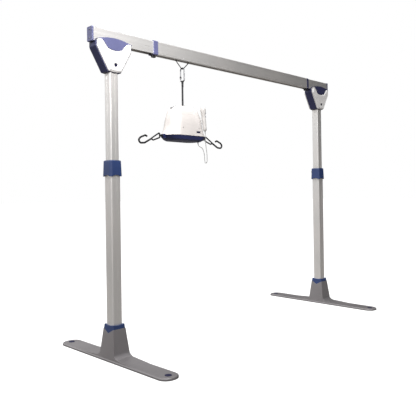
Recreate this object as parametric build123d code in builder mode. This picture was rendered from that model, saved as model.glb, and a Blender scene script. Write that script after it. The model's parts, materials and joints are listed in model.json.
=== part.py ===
from build123d import *

# Free-standing two-post overhead patient lift.
#
# Two floor feet carry telescopic posts. Y-shaped heads on the posts hold a telescopic
# rail, and a trolley in the rail carries a strap hoist with two sling hooks and a handset.
# Origin: middle of the span, on the floor. +X runs along the rail, -Y is the front.

import os
from math import cos, pi, radians, sin, tan

# ---- Driving dimensions (mm) -------------------------------------------------------
SPAN = 2540.0              # between the two post axes
RAIL_TOP = 2250.0
CLEARANCE = 0.3            # sliding gap per side
FIT = 0.05                 # gap round a pressed pin

FOOT_LENGTH = 1220.0
FOOT_WIDTH = 147.0
FOOT_EDGE = 16.0           # thickness of the foot's flat plate
FOOT_CROWN = 30.0          # height of the foot beside the tower
RIM_RADIUS = 9.0
PLUG_RADIUS = 23.0
FOOT_RAMP = 300.0          # where the rise towards the tower starts, from the post axis
FOOT_RIM = 14.0            # width of the rim the foot rests on
FOOT_CAVITY = 7.0
TOWER_TOP = 250.0
TOWER_TOP_X = 95.0
TOWER_TOP_Y = 105.0
TOWER_BASE_Y = 174.0
CHEVRON_LOW = 186.0        # lowest point of the blue collar's edge
CHEVRON_HIGH = 215.0
PLUG_Y = 553.0

LOWER_TUBE = 78.0
UPPER_TUBE = 68.0
TUBE_WALL = 3.0
TUBE_RADIUS = 9.0
LOWER_TUBE_BOTTOM = 60.0
LOWER_TUBE_TOP = 1300.0
UPPER_TUBE_BOTTOM = 930.0
UPPER_TUBE_TOP = 2090.0
COLLAR_BOTTOM = 1252.0
COLLAR_TOP = 1361.0
HEIGHT_PIN_Z = 1328.0

RAIL_WIDTH = 60.0
RAIL_HEIGHT = 98.0
RAIL_WALL = 3.0
RAIL_SLOT = 18.0
INNER_WALL = 2.5
INNER_FLOOR = 48.0         # underside of the end section's closed chamber above the rail's bottom
RAIL_END = 1428.0          # end of the metal either side of the middle
LEFT_JOINT = -890.0
RIGHT_JOINT = 1073.0
LEFT_COLLAR = 41.0
RIGHT_TRIM = 28.0
LEFT_OVERLAP = 200.0
RIGHT_OVERLAP = 450.0
END_CAP = 12.0
STOP_LEFT = -770.0         # trolley stops, set so that the sling hooks clear the posts
STOP_RIGHT = 830.0
PIN_GAP = 1.0              # between a released lock pin and the tube it locks

HEAD_DEPTH = 74.0          # navy core, front to back
COVER_INSET = 9.0          # navy core left showing round a cover
COVER_DEPTH = 21.0
HEAD_BOTTOM = 1962.0
HEAD_SHOULDER = 2120.0
HEAD_TOP = 2166.0
HEAD_CROWN = 2190.0
HEAD_HALF_TOP = 148.0
HEAD_HALF_BOTTOM = 56.0
NOTCH_BOTTOM = 2108.0
NOTCH_TOP_HALF = 97.0
NOTCH_LOW_HALF = 58.0
BOLT_RECESS = 14.0
HEAD_BOLT_Z = 2009.0

TROLLEY_X = -600.0
WHEEL_RADIUS = 17.0
WHEEL_WIDTH = 8.0
WHEEL_BASE = 96.0
AXLE_RADIUS = 4.0
BAIL_ROD = 3.5
BAIL_HALF = 60.0
BAIL_VERTEX = 2092.0

HOOK_RING_ROD = 4.5        # carabiner bar radius
RING_HALF_WIDTH = 20.5
RING_BOTTOM = 1996.5

STRAP_WIDTH = 20.0
STRAP_THICK = 3.0

UNIT_X = TROLLEY_X         # middle of the lifting unit
HULL_BOTTOM = 1530.0
HULL_TOP = 1569.0
UNIT_TOP = 1801.0
CONTROL_TILT = 20.0        # slope of the emergency control on the dome's shoulder
SHELL = 3.0
PLATE_Z = HULL_TOP - 12    # underside of the unit's steel base plate
GLAND_X = 115.0            # cord gland in the hull's underside
GLAND_Y = -45.0
DRUM_RADIUS = 28.0
DRUM_Z = 1690.0

ARM_PIVOT = 205.0          # sling hook pivot from the strap
ARM_PIVOT_Z = 1560.0
BRACKET_START = 165.0
BRACKET_END = 214.0
CORD_RADIUS = 2.5

rail_bottom = RAIL_TOP - RAIL_HEIGHT
track_z = rail_bottom + RAIL_WALL
inner_width = RAIL_WIDTH - 2 * (RAIL_WALL + CLEARANCE)
inner_height = RAIL_HEIGHT - 2 * (RAIL_WALL + CLEARANCE)
axle_z = track_z + WHEEL_RADIUS + CLEARANCE
drum_x = TROLLEY_X - DRUM_RADIUS - STRAP_THICK / 2 - CLEARANCE
ring_top = BAIL_VERTEX + BAIL_ROD + HOOK_RING_ROD + CLEARANCE
SIDES = (("left", -1), ("right", 1))

os.makedirs("parts", exist_ok=True)


def write(piece, name):
    """Label a finished piece and write it as its own STEP file."""
    piece.part.label = name
    export_step(piece.part, f"parts/{name}.step")


def post_x(sign):
    """X of the post axis on one side of the span."""
    return sign * SPAN / 2


# ---- Stand: foot, foot collar, plugs, pads, tubes, mid collar ------------------------
def tower_form(x):
    """Tapered tower with a flared root that runs out along the foot."""
    with BuildPart() as tower:
        with BuildSketch(Plane.YZ.offset(x)):
            with BuildLine():
                Polyline(
                    (-FOOT_RAMP, 0),
                    (FOOT_RAMP, 0),
                    (FOOT_RAMP, FOOT_EDGE - 1),
                    (TOWER_BASE_Y / 2 + 22, FOOT_CROWN - 4),
                    (TOWER_BASE_Y / 2 - 6, FOOT_CROWN + 14),
                    (TOWER_TOP_Y / 2, TOWER_TOP),
                    (-TOWER_TOP_Y / 2, TOWER_TOP),
                    (-TOWER_BASE_Y / 2 + 6, FOOT_CROWN + 14),
                    (-TOWER_BASE_Y / 2 - 22, FOOT_CROWN - 4),
                    (-FOOT_RAMP, FOOT_EDGE - 1),
                    close=True,
                )
            make_face()
        extrude(amount=FOOT_WIDTH / 2 + 5, both=True)
        flare = tower.edges().filter_by(Axis.X)
        fillet(flare.filter_by_position(Axis.Z, FOOT_CROWN - 6, FOOT_CROWN + 16), 26)
        with BuildSketch(Plane.XZ):
            with BuildLine():
                Polyline(
                    (x - FOOT_WIDTH / 2 + 4, 0),
                    (x + FOOT_WIDTH / 2 - 4, 0),
                    (x + FOOT_WIDTH / 2 - 4, 10),
                    (x + TOWER_TOP_X / 2, TOWER_TOP),
                    (x - TOWER_TOP_X / 2, TOWER_TOP),
                    (x - FOOT_WIDTH / 2 + 4, 10),
                    close=True,
                )
            make_face()
        extrude(amount=FOOT_RAMP, both=True, mode=Mode.INTERSECT)
    return tower.part


def tower_envelope(x):
    """Outer form shared by the foot casting and its blue collar."""
    with BuildPart() as envelope:
        with BuildSketch(Plane((x, 0, 0))):
            RectangleRounded(FOOT_WIDTH, FOOT_LENGTH, FOOT_WIDTH * 0.46)
        extrude(amount=FOOT_EDGE)
        fillet(envelope.edges().group_by(Axis.Z)[-1], RIM_RADIUS)
        add(tower_form(x))
    return envelope.part


def chevron_prism(x):
    """Everything above the V-shaped edge between casting and collar."""
    reach = TOWER_BASE_Y
    with BuildPart() as prism:
        with BuildSketch(Plane.YZ.offset(x)):
            with BuildLine():
                Polyline(
                    (0, CHEVRON_LOW),
                    (TOWER_TOP_Y / 2, CHEVRON_HIGH),
                    (reach, CHEVRON_HIGH),
                    (reach, TOWER_TOP + 50),
                    (-reach, TOWER_TOP + 50),
                    (-reach, CHEVRON_HIGH),
                    (-TOWER_TOP_Y / 2, CHEVRON_HIGH),
                    close=True,
                )
            make_face()
        extrude(amount=FOOT_WIDTH, both=True)
    return prism.part


def make_foot(side, x):
    """Grey casting: long slab with a tapered socket tower."""
    with BuildPart() as foot:
        add(tower_envelope(x))
        add(chevron_prism(x), mode=Mode.SUBTRACT)
        with BuildSketch(Plane((x, 0, LOWER_TUBE_BOTTOM))):
            RectangleRounded(LOWER_TUBE, LOWER_TUBE, TUBE_RADIUS)
        extrude(amount=TOWER_TOP, mode=Mode.SUBTRACT)
        with Locations((x, PLUG_Y, 0), (x, -PLUG_Y, 0)):
            Cylinder(PLUG_RADIUS, 2 * FOOT_CROWN, mode=Mode.SUBTRACT)
        with BuildSketch(Plane((x, 0, 0))):
            RectangleRounded(FOOT_WIDTH - 2 * FOOT_RIM, FOOT_LENGTH - 2 * FOOT_RIM, FOOT_WIDTH * 0.36)
        extrude(amount=FOOT_CAVITY, mode=Mode.SUBTRACT)
    write(foot, f"{side}_foot")


def make_foot_collar(side, x):
    """Blue ring on the tower, with a V-shaped lower edge and raised corners."""
    with BuildPart() as collar:
        add(tower_envelope(x))
        add(chevron_prism(x), mode=Mode.INTERSECT)
        with BuildSketch(Plane((x, 0, 0))):
            RectangleRounded(LOWER_TUBE, LOWER_TUBE, TUBE_RADIUS)
        extrude(amount=2 * TOWER_TOP, mode=Mode.SUBTRACT)
        fillet(collar.edges().filter_by_position(Axis.Z, CHEVRON_LOW, TOWER_TOP - 2).filter_by(
            lambda edge: abs(edge.center().X - x) > LOWER_TUBE / 2 + 2
            and abs(edge.center().Y) > LOWER_TUBE / 2 + 2 and abs(edge.tangent_at(0.5).Z) > 0.9), 7)
        dip = 160.0
        with Locations(Location((x, 0, TOWER_TOP + dip - 12), (90, 0, 0))):
            Cylinder(dip, 2 * TOWER_TOP_Y, mode=Mode.SUBTRACT)
        with Locations(Location((x, 0, TOWER_TOP + dip - 12), (0, 90, 0))):
            Cylinder(dip, 2 * TOWER_TOP_X, mode=Mode.SUBTRACT)
    write(collar, f"{side}_foot_collar")


def make_foot_plugs(side, x):
    """Two dark caps in the foot's upper face, over the anchor holes."""
    with BuildPart() as plugs:
        for y in (-PLUG_Y, PLUG_Y):
            with Locations((x, y, FOOT_EDGE - 6.5)):
                Cylinder(PLUG_RADIUS, 8, align=(Align.CENTER, Align.CENTER, Align.MIN))
        fillet(plugs.edges().group_by(Axis.Z)[-1], 1.5)
    write(plugs, f"{side}_foot_plugs")


def square_tube(x, width, bottom, top):
    """Rounded square extrusion with a shallow groove down each face."""
    with BuildPart() as tube:
        with BuildSketch(Plane((x, 0, bottom))):
            RectangleRounded(width, width, TUBE_RADIUS)
            inside = width - 2 * TUBE_WALL
            RectangleRounded(inside, inside, TUBE_RADIUS - TUBE_WALL, mode=Mode.SUBTRACT)
            with PolarLocations(width / 2, 4):
                Rectangle(1.2, 8, mode=Mode.SUBTRACT)
        extrude(amount=top - bottom)
    return tube


def make_mid_collar(side, x):
    """Blue clamp collar at the top of the lower tube, flared and notched below."""
    bore = UPPER_TUBE + 2 * CLEARANCE
    with BuildPart() as collar:
        with BuildSketch(Plane((x, 0, COLLAR_BOTTOM))):
            RectangleRounded(101, 101, 18)
        with BuildSketch(Plane((x, 0, COLLAR_TOP))):
            RectangleRounded(93, 93, 16)
        loft()
        fillet(collar.edges().group_by(Axis.Z)[-1], 7)
        with BuildSketch(Plane((x, 0, COLLAR_BOTTOM))):
            RectangleRounded(LOWER_TUBE, LOWER_TUBE, TUBE_RADIUS)
        extrude(amount=LOWER_TUBE_TOP - COLLAR_BOTTOM, mode=Mode.SUBTRACT)
        with BuildSketch(Plane((x, 0, LOWER_TUBE_TOP))):
            RectangleRounded(bore, bore, TUBE_RADIUS)
        extrude(amount=COLLAR_TOP, mode=Mode.SUBTRACT)
        arch = 70.0
        for turn in ((90, 0, 0), (0, 90, 0)):
            with Locations(Location((x, 0, COLLAR_BOTTOM - arch + 9), turn)):
                Cylinder(arch, 120, mode=Mode.SUBTRACT)
        with Locations(Location((x, 50, HEIGHT_PIN_Z), (90, 0, 0))):
            Cylinder(5 + CLEARANCE, 60, mode=Mode.SUBTRACT)
    write(collar, f"{side}_mid_collar")


def make_height_pin(side, x):
    """Spring plunger with a pull knob, through the rear of the mid collar."""
    with BuildPart() as pin:
        with BuildSketch(Plane.XZ.offset(-UPPER_TUBE / 2 - 1)):
            with Locations((x, HEIGHT_PIN_Z)):
                Circle(5)
        extrude(amount=-22)
        with BuildSketch(Plane.XZ.offset(-52)):
            with Locations((x, HEIGHT_PIN_Z)):
                Circle(11)
                with PolarLocations(11.5, 12):
                    Circle(1.4, mode=Mode.SUBTRACT)
        extrude(amount=-16)
        fillet(pin.faces().sort_by(Axis.Y)[-1].edges().sort_by(SortBy.LENGTH)[-1], 1)
    write(pin, f"{side}_height_pin")


# ---- Heads ---------------------------------------------------------------------------
def head_outline(x, inset):
    """Y-shaped outline in the XZ plane with a bowl-shaped notch between the arms."""
    half_top = HEAD_HALF_TOP - inset
    half_bottom = HEAD_HALF_BOTTOM - inset / 2
    bottom = HEAD_BOTTOM + inset / 2
    shoulder = HEAD_SHOULDER - inset / 2
    with BuildLine() as outline:
        Polyline(
            (x + NOTCH_TOP_HALF, HEAD_TOP), (x + half_top, HEAD_TOP), (x + half_top, shoulder),
            (x + half_bottom, bottom),
        )
        ThreePointArc((x + half_bottom, bottom), (x, bottom - 5), (x - half_bottom, bottom))
        Polyline(
            (x - half_bottom, bottom), (x - half_top, shoulder), (x - half_top, HEAD_TOP),
            (x - NOTCH_TOP_HALF, HEAD_TOP), (x - NOTCH_LOW_HALF, NOTCH_BOTTOM + 12),
        )
        ThreePointArc(
            (x - NOTCH_LOW_HALF, NOTCH_BOTTOM + 12), (x, NOTCH_BOTTOM),
            (x + NOTCH_LOW_HALF, NOTCH_BOTTOM + 12),
        )
        Line((x + NOTCH_LOW_HALF, NOTCH_BOTTOM + 12), (x + NOTCH_TOP_HALF, HEAD_TOP))
    return outline


def make_head_core(side, x):
    """Navy body of the head: takes the upper tube below and the rail between its arms."""
    with BuildPart() as core:
        with BuildSketch(Plane.XZ):
            add(head_outline(x, 0))
            make_face()
        extrude(amount=HEAD_DEPTH / 2, both=True)
        shoulders = core.edges().filter_by(Axis.Y)
        fillet(shoulders.filter_by_position(Axis.Z, HEAD_SHOULDER - 1, HEAD_SHOULDER + 1), 20)
        with BuildSketch(Plane((x, 0, HEAD_BOTTOM - 20))):
            RectangleRounded(UPPER_TUBE, UPPER_TUBE, TUBE_RADIUS)
        extrude(amount=UPPER_TUBE_TOP - HEAD_BOTTOM + 20, mode=Mode.SUBTRACT)
        with Locations((x, 0, rail_bottom)):
            Box(400, inner_width, 200, align=(Align.CENTER, Align.CENTER, Align.MIN), mode=Mode.SUBTRACT)
        with Locations(Location((x, 0, HEAD_BOLT_Z), (90, 0, 0))):
            Cylinder(5, 2 * HEAD_DEPTH, mode=Mode.SUBTRACT)
    write(core, f"{side}_head_core")


def make_head_covers(side, x):
    """Front and rear white covers, bevelled all round, with a bolt recess."""
    with BuildPart() as covers:
        with BuildSketch(Plane.XZ.offset(HEAD_DEPTH / 2)):
            add(head_outline(x, COVER_INSET))
            make_face()
        extrude(amount=COVER_DEPTH)
        front = covers.faces().sort_by(Axis.Y)[0]
        chamfer(front.edges().filter_by(lambda edge: edge.center().Z < HEAD_TOP - 4), 11)
        with Locations(Location((x, -HEAD_DEPTH / 2 - COVER_DEPTH, HEAD_BOLT_Z), (90, 0, 0))):
            Cylinder(BOLT_RECESS, 2 * (COVER_DEPTH - 8), mode=Mode.SUBTRACT)
            Cylinder(5, 4 * COVER_DEPTH, mode=Mode.SUBTRACT)
        mirror(about=Plane.XZ)
    write(covers, f"{side}_head_covers")


def make_head_saddle(side, x):
    """Blue saddle in the notch: it cradles the rail and laps up both its sides."""
    rim = HEAD_HALF_TOP - 3
    with BuildPart() as saddle:
        with BuildSketch(Plane.XZ):
            with BuildLine():
                ThreePointArc((x - rim, HEAD_TOP), (x, HEAD_CROWN), (x + rim, HEAD_TOP))
                Polyline(
                    (x + rim, HEAD_TOP), (x + NOTCH_TOP_HALF, HEAD_TOP),
                    (x + NOTCH_LOW_HALF, NOTCH_BOTTOM + 12),
                )
                ThreePointArc(
                    (x + NOTCH_LOW_HALF, NOTCH_BOTTOM + 12), (x, NOTCH_BOTTOM),
                    (x - NOTCH_LOW_HALF, NOTCH_BOTTOM + 12),
                )
                Polyline(
                    (x - NOTCH_LOW_HALF, NOTCH_BOTTOM + 12), (x - NOTCH_TOP_HALF, HEAD_TOP),
                    (x - rim, HEAD_TOP),
                )
            make_face()
        extrude(amount=HEAD_DEPTH / 2 + COVER_DEPTH - 5, both=True)
        with Locations((x, 0, track_z + CLEARANCE)):
            Box(400, inner_width, 200, align=(Align.CENTER, Align.CENTER, Align.MIN), mode=Mode.SUBTRACT)
    write(saddle, f"{side}_head_saddle")


def make_head_bolts(side, x):
    """Front and rear socket-head bolts that hold the covers and pinch the tube."""
    with BuildPart() as bolts:
        with BuildSketch(Plane.XZ.offset(HEAD_DEPTH / 2 + 8)):
            with Locations((x, HEAD_BOLT_Z)):
                Circle(BOLT_RECESS - CLEARANCE)
        extrude(amount=COVER_DEPTH - 11)
        with BuildSketch(Plane.XZ.offset(HEAD_DEPTH / 2 + COVER_DEPTH - 9)):
            with Locations((x, HEAD_BOLT_Z)):
                Circle(BOLT_RECESS - 4)
                RegularPolygon(6, 6, mode=Mode.SUBTRACT)
        extrude(amount=6, mode=Mode.SUBTRACT)
        with BuildSketch(Plane.XZ.offset(UPPER_TUBE / 2)):
            with Locations((x, HEAD_BOLT_Z)):
                Circle(5)
        extrude(amount=HEAD_DEPTH / 2 + 8 - UPPER_TUBE / 2)
        mirror(about=Plane.XZ)
    write(bolts, f"{side}_head_bolts")


# ---- Rail ----------------------------------------------------------------------------
def make_rail_centre():
    """Outer rail section: box channel with the trolley slot along its underside."""
    start = LEFT_JOINT - LEFT_COLLAR / 2 + 5
    end = RIGHT_JOINT + RIGHT_TRIM / 2 - 3
    middle = RAIL_TOP - RAIL_HEIGHT / 2
    with BuildPart() as rail:
        with BuildSketch(Plane.YZ.offset(start)):
            with Locations((0, middle)):
                RectangleRounded(RAIL_WIDTH, RAIL_HEIGHT, 5)
                inner_height = RAIL_HEIGHT - 2 * RAIL_WALL
                RectangleRounded(RAIL_WIDTH - 2 * RAIL_WALL, inner_height, 2, mode=Mode.SUBTRACT)
            with Locations((0, rail_bottom)):
                Rectangle(RAIL_SLOT, 4 * RAIL_WALL, mode=Mode.SUBTRACT)
            for height in (0.16, 0.84):
                for face in (-1, 1):
                    with Locations((face * RAIL_WIDTH / 2, rail_bottom + height * RAIL_HEIGHT)):
                        Rectangle(1.6, 3, mode=Mode.SUBTRACT)
        extrude(amount=end - start)
    write(rail, "rail_centre")


def make_rail_section(side, start, end, pin_x):
    """Inner rail section: closed chamber on top, side walls open below for the trolley."""
    base = track_z + CLEARANCE
    floor = rail_bottom + INNER_FLOOR
    with BuildPart() as section:
        with BuildSketch(Plane.YZ.offset(start)):
            with Locations((0, base + inner_height / 2)):
                RectangleRounded(inner_width, inner_height, 2)
                inside = inner_width - 2 * INNER_WALL
            with Locations((0, (floor - 100 + base) / 2)):
                Rectangle(inside, floor - base + 100, mode=Mode.SUBTRACT)
            with Locations((0, (floor + INNER_WALL + base + inner_height - INNER_WALL) / 2)):
                Rectangle(inside, base + inner_height - floor - 2 * INNER_WALL, mode=Mode.SUBTRACT)
        extrude(amount=end - start)
        with Locations((pin_x, 0, floor)):
            Cylinder(5 + CLEARANCE, 4 * INNER_WALL, mode=Mode.SUBTRACT)
    write(section, f"rail_{side}")


def make_joint_ring(name, middle, length, proud, lip):
    """Ring on the end of the outer rail section; its lip guides the inner section."""
    centre_z = RAIL_TOP - RAIL_HEIGHT / 2
    outside = -1 if middle < 0 else 1
    with BuildPart() as ring:
        with BuildSketch(Plane.YZ.offset(middle - length / 2)):
            with Locations((0, centre_z)):
                RectangleRounded(RAIL_WIDTH + 2 * proud, RAIL_HEIGHT + 2 * proud, 5 + proud)
        extrude(amount=length)
        fillet(ring.edges().filter_by(Plane.YZ), min(1.5, proud * 0.7))
        with BuildSketch(Plane.YZ.offset(middle - outside * (length / 2 + 1))):
            with Locations((0, centre_z)):
                RectangleRounded(RAIL_WIDTH, RAIL_HEIGHT, 5)
        extrude(amount=outside * (length + 1 - lip), mode=Mode.SUBTRACT)
        with BuildSketch(Plane.YZ.offset(middle - length)):
            with Locations((0, centre_z)):
                Rectangle(inner_width + 2 * CLEARANCE, inner_height + 2 * CLEARANCE)
            with Locations((0, rail_bottom)):
                Rectangle(RAIL_SLOT, 40)
        extrude(amount=2 * length, mode=Mode.SUBTRACT)
    write(ring, name)


def make_end_cap(side, sign):
    """Blue cap over the open end of an inner rail section."""
    centre_z = RAIL_TOP - RAIL_HEIGHT / 2
    with BuildPart() as cap:
        with BuildSketch(Plane.YZ.offset(sign * RAIL_END)):
            with Locations((0, centre_z)):
                RectangleRounded(RAIL_WIDTH + 2, RAIL_HEIGHT + 2, 7)
        extrude(amount=sign * END_CAP)
        outer = cap.faces().sort_by(Axis.X)[0 if sign < 0 else -1]
        fillet(outer.edges(), 3)
        with BuildSketch(Plane.YZ.offset(sign * RAIL_END)):
            with Locations((0, centre_z + 20)):
                RectangleRounded(inner_width - 2 * INNER_WALL - 1, 34, 2)
        extrude(amount=-sign * 14)
    write(cap, f"{side}_end_cap")


def make_rail_pin(side, x):
    """Sprung lock pin below the rail joint, drawn released just under the inner section."""
    with BuildPart() as pin:
        with BuildSketch(Plane((x, 0, rail_bottom - 18))):
            RectangleRounded(34, 24, 6)
        extrude(amount=10)
        fillet(pin.edges().group_by(Axis.Z)[0], 2)
        with BuildSketch(Plane((x, 0, rail_bottom - 8))):
            Circle(5)
        extrude(amount=8 + INNER_FLOOR - PIN_GAP)
    write(pin, f"{side}_rail_pin")


def make_trolley_stops():
    """Rubber end stops resting on the track lips, one near each end of the track."""
    with BuildPart() as stops:
        for x in (STOP_LEFT, STOP_RIGHT):
            with BuildSketch(Plane((x, 0, track_z))):
                RectangleRounded(16, 44, 3)
            extrude(amount=26)
    write(stops, "trolley_stops")


# ---- Trolley -------------------------------------------------------------------------
def make_trolley():
    """Chassis bar with its two dead axles, two pairs of wheels and the wire bail."""
    with BuildPart() as chassis:
        with BuildSketch(Plane.XZ.offset(-8)):
            with Locations((TROLLEY_X, axle_z)):
                RectangleRounded(2 * BAIL_HALF + 34, 30, 9)
        extrude(amount=16)
        for offset in (-WHEEL_BASE / 2, WHEEL_BASE / 2):
            with Locations(Location((TROLLEY_X + offset, 0, axle_z), (90, 0, 0))):
                Cylinder(AXLE_RADIUS + FIT, 60, mode=Mode.SUBTRACT)
                Cylinder(AXLE_RADIUS, 42)
        for offset in (-BAIL_HALF - 6, BAIL_HALF + 6):
            with Locations((TROLLEY_X + offset, 0, axle_z - 8)):
                Cylinder(BAIL_ROD, 30, mode=Mode.SUBTRACT)
    write(chassis, "trolley_chassis")

    for name, offset in (("left", -WHEEL_BASE / 2), ("right", WHEEL_BASE / 2)):
        with BuildPart() as wheels:
            for face in (-1, 1):
                with BuildSketch(Plane.XZ.offset(-face * 15 - WHEEL_WIDTH / 2)):
                    with Locations((TROLLEY_X + offset, axle_z)):
                        Circle(WHEEL_RADIUS)
                        Circle(AXLE_RADIUS + CLEARANCE, mode=Mode.SUBTRACT)
                extrude(amount=WHEEL_WIDTH)
            chamfer(wheels.edges().filter_by(GeomType.CIRCLE).filter_by(
                lambda edge: edge.radius > WHEEL_RADIUS - 1), 1)
        write(wheels, f"trolley_wheels_{name}")

    leg = BAIL_HALF + 6
    with BuildPart() as bail:
        with BuildLine() as path:
            FilletPolyline(
                (TROLLEY_X - leg, 0, axle_z + 2),
                (TROLLEY_X - leg, 0, rail_bottom - 4),
                (TROLLEY_X, 0, BAIL_VERTEX - 6),
                (TROLLEY_X + leg, 0, rail_bottom - 4),
                (TROLLEY_X + leg, 0, axle_z + 2),
                radius=(10, 17, 10),
            )
        with BuildSketch(Plane(path.line @ 0, z_dir=path.line % 0)):
            Circle(BAIL_ROD)
        sweep()
    write(bail, "trolley_bail")


# ---- Carabiner and strap ---------------------------------------------------------------
def make_carabiner():
    """Steel snap ring hanging on the bail, open on one side where its gate closes it."""
    y = RING_HALF_WIDTH
    gate_low = RING_BOTTOM + 30
    gate_high = RING_BOTTOM + 80
    with BuildPart() as ring:
        with BuildLine() as path:
            FilletPolyline(
                (TROLLEY_X, y, gate_low),
                (TROLLEY_X, y, RING_BOTTOM),
                (TROLLEY_X, -y, RING_BOTTOM),
                (TROLLEY_X, -y, ring_top),
                (TROLLEY_X, y, ring_top),
                (TROLLEY_X, y, gate_high),
                radius=(12, 12, 19, 19),
            )
        with BuildSketch(Plane(path.line @ 0, z_dir=path.line % 0)):
            Circle(HOOK_RING_ROD)
        sweep()
        for side in (-1, 1):
            with Locations((TROLLEY_X + side * 4.9, y, gate_low + 2)):
                Box(1.4, 8, 16)
            with Locations(Location((TROLLEY_X + side * 4.9, y, gate_low + 5), (0, 90, 0))):
                Cylinder(1.8, 3, mode=Mode.SUBTRACT)
    write(ring, "carabiner_ring")

    pivot = gate_low + 5
    with BuildPart() as gate:
        with Locations((TROLLEY_X, y, pivot)):
            Cylinder(3.8, gate_high - pivot - 0.7, align=(Align.CENTER, Align.CENTER, Align.MIN))
        with Locations(Location((TROLLEY_X, y, pivot), (0, 90, 0))):
            Cylinder(3.8, 7.6)
            Cylinder(1.4, 13)
    write(gate, "carabiner_gate")


def make_strap():
    """Webbing strap from the carabiner down through the unit's top to the drum."""
    with BuildPart() as strap:
        with Locations((TROLLEY_X, 0, RING_BOTTOM - HOOK_RING_ROD - CLEARANCE)):
            Box(STRAP_THICK, STRAP_WIDTH, RING_BOTTOM - HOOK_RING_ROD - CLEARANCE - DRUM_Z,
                align=(Align.CENTER, Align.CENTER, Align.MAX))
    write(strap, "lifting_strap")


# ---- Lifting unit ----------------------------------------------------------------------
# Height, half length, half depth and corner radius of the white cover's plan sections.
COVER_SECTIONS = (
    (HULL_TOP, 198, 96, 94),
    (1584, 188, 95, 91),
    (1608, 175, 93, 85),
    (1645, 162, 90, 77),
    (1690, 152, 84, 70),
    (1730, 141, 75, 62),
    (1762, 129, 64, 53),
    (1784, 111, 50, 42),
    (1795, 90, 38, 32),
    (UNIT_TOP, 66, 26, 22),
)


def cover_solid(shrink, drop):
    """Domed body through the plan sections, made smaller all round by shrink."""
    with BuildPart() as dome:
        for height, half_length, half_depth, radius in COVER_SECTIONS:
            level = height - drop if height > HULL_TOP else height - (1 if shrink else 0)
            with BuildSketch(Plane((UNIT_X, 0, level))):
                RectangleRounded(2 * (half_length - shrink), 2 * (half_depth - shrink), radius - shrink)
        loft()
    return dome.part


def make_unit_cover():
    """White dome, open below, with a strap slot on top."""
    with BuildPart() as cover:
        add(cover_solid(0, 0))
        add(cover_solid(SHELL, SHELL), mode=Mode.SUBTRACT)
        with BuildSketch(Plane((TROLLEY_X, 0, UNIT_TOP - 30))):
            RectangleRounded(18, 36, 6)
        extrude(amount=60, mode=Mode.SUBTRACT)
        with Locations((UNIT_X + 76, -100, 1599)):
            Box(44, 60, 16, mode=Mode.SUBTRACT)
        with Locations(shoulder_location()):
            Box(68, 30, 40, mode=Mode.SUBTRACT)
        add(bracket_blocks(CLEARANCE), mode=Mode.SUBTRACT)
    write(cover, "unit_cover")


def shoulder_location():
    """Place of the emergency control on the dome's left shoulder, tilted with the surface."""
    return Location((UNIT_X - 90, 0, 1787), (0, -CONTROL_TILT, 0))


def hull_solid(inset, lift):
    """Rounded tray shape, drawn in by the inset and raised by the lift."""
    levels = (
        (HULL_BOTTOM, 150, 76, 62),
        (HULL_BOTTOM + 9, 168, 90, 76),
        (HULL_TOP - 3, 201, 98, 95),
    )
    with BuildPart() as tray:
        for height, half_length, half_depth, radius in levels:
            with BuildSketch(Plane((UNIT_X, 0, height + lift))):
                RectangleRounded(2 * (half_length - inset), 2 * (half_depth - inset), radius - inset)
        loft(ruled=True)
    return tray.part


def bracket_blocks(gap):
    """Outer blocks of the hook brackets, grown all round by the gap."""
    length = BRACKET_END - BRACKET_START
    with BuildPart() as blocks:
        for sign in (-1, 1):
            with Locations((TROLLEY_X + sign * (BRACKET_END - length / 2), 0, ARM_PIVOT_Z + 1)):
                Box(length + 2 * gap, 30 + 2 * gap, 30 + 2 * gap)
    return blocks.part


def make_unit_hull():
    """Navy base tray with a rounded underside."""
    outside = hull_solid(0, 0)
    inside = hull_solid(SHELL, SHELL)
    with BuildPart() as hull:
        add(outside)
        add(inside, mode=Mode.SUBTRACT)
        with Locations((UNIT_X + GLAND_X, GLAND_Y, HULL_BOTTOM)):
            Cylinder(4, 40, mode=Mode.SUBTRACT)
        add(bracket_blocks(CLEARANCE), mode=Mode.SUBTRACT)
    write(hull, "unit_hull")


def make_unit_frame():
    """Steel base plate and two drum cheeks that carry everything inside the unit."""
    with BuildPart() as frame:
        with BuildSketch(Plane((UNIT_X, 0, PLATE_Z))):
            RectangleRounded(290, 150, 50)
        extrude(amount=4)
        for y in (-20, 20):
            with BuildSketch(Plane.XZ.offset(-y - 1.5)):
                with Locations((TROLLEY_X - DRUM_RADIUS, DRUM_Z)):
                    RectangleRounded(84, 80, 20)
                with Locations((TROLLEY_X - DRUM_RADIUS, (DRUM_Z + HULL_TOP - 8) / 2)):
                    Rectangle(60, DRUM_Z - HULL_TOP + 8)
                with Locations((drum_x, DRUM_Z)):
                    Circle(6 + CLEARANCE, mode=Mode.SUBTRACT)
            extrude(amount=3)
    write(frame, "unit_frame")


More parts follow.
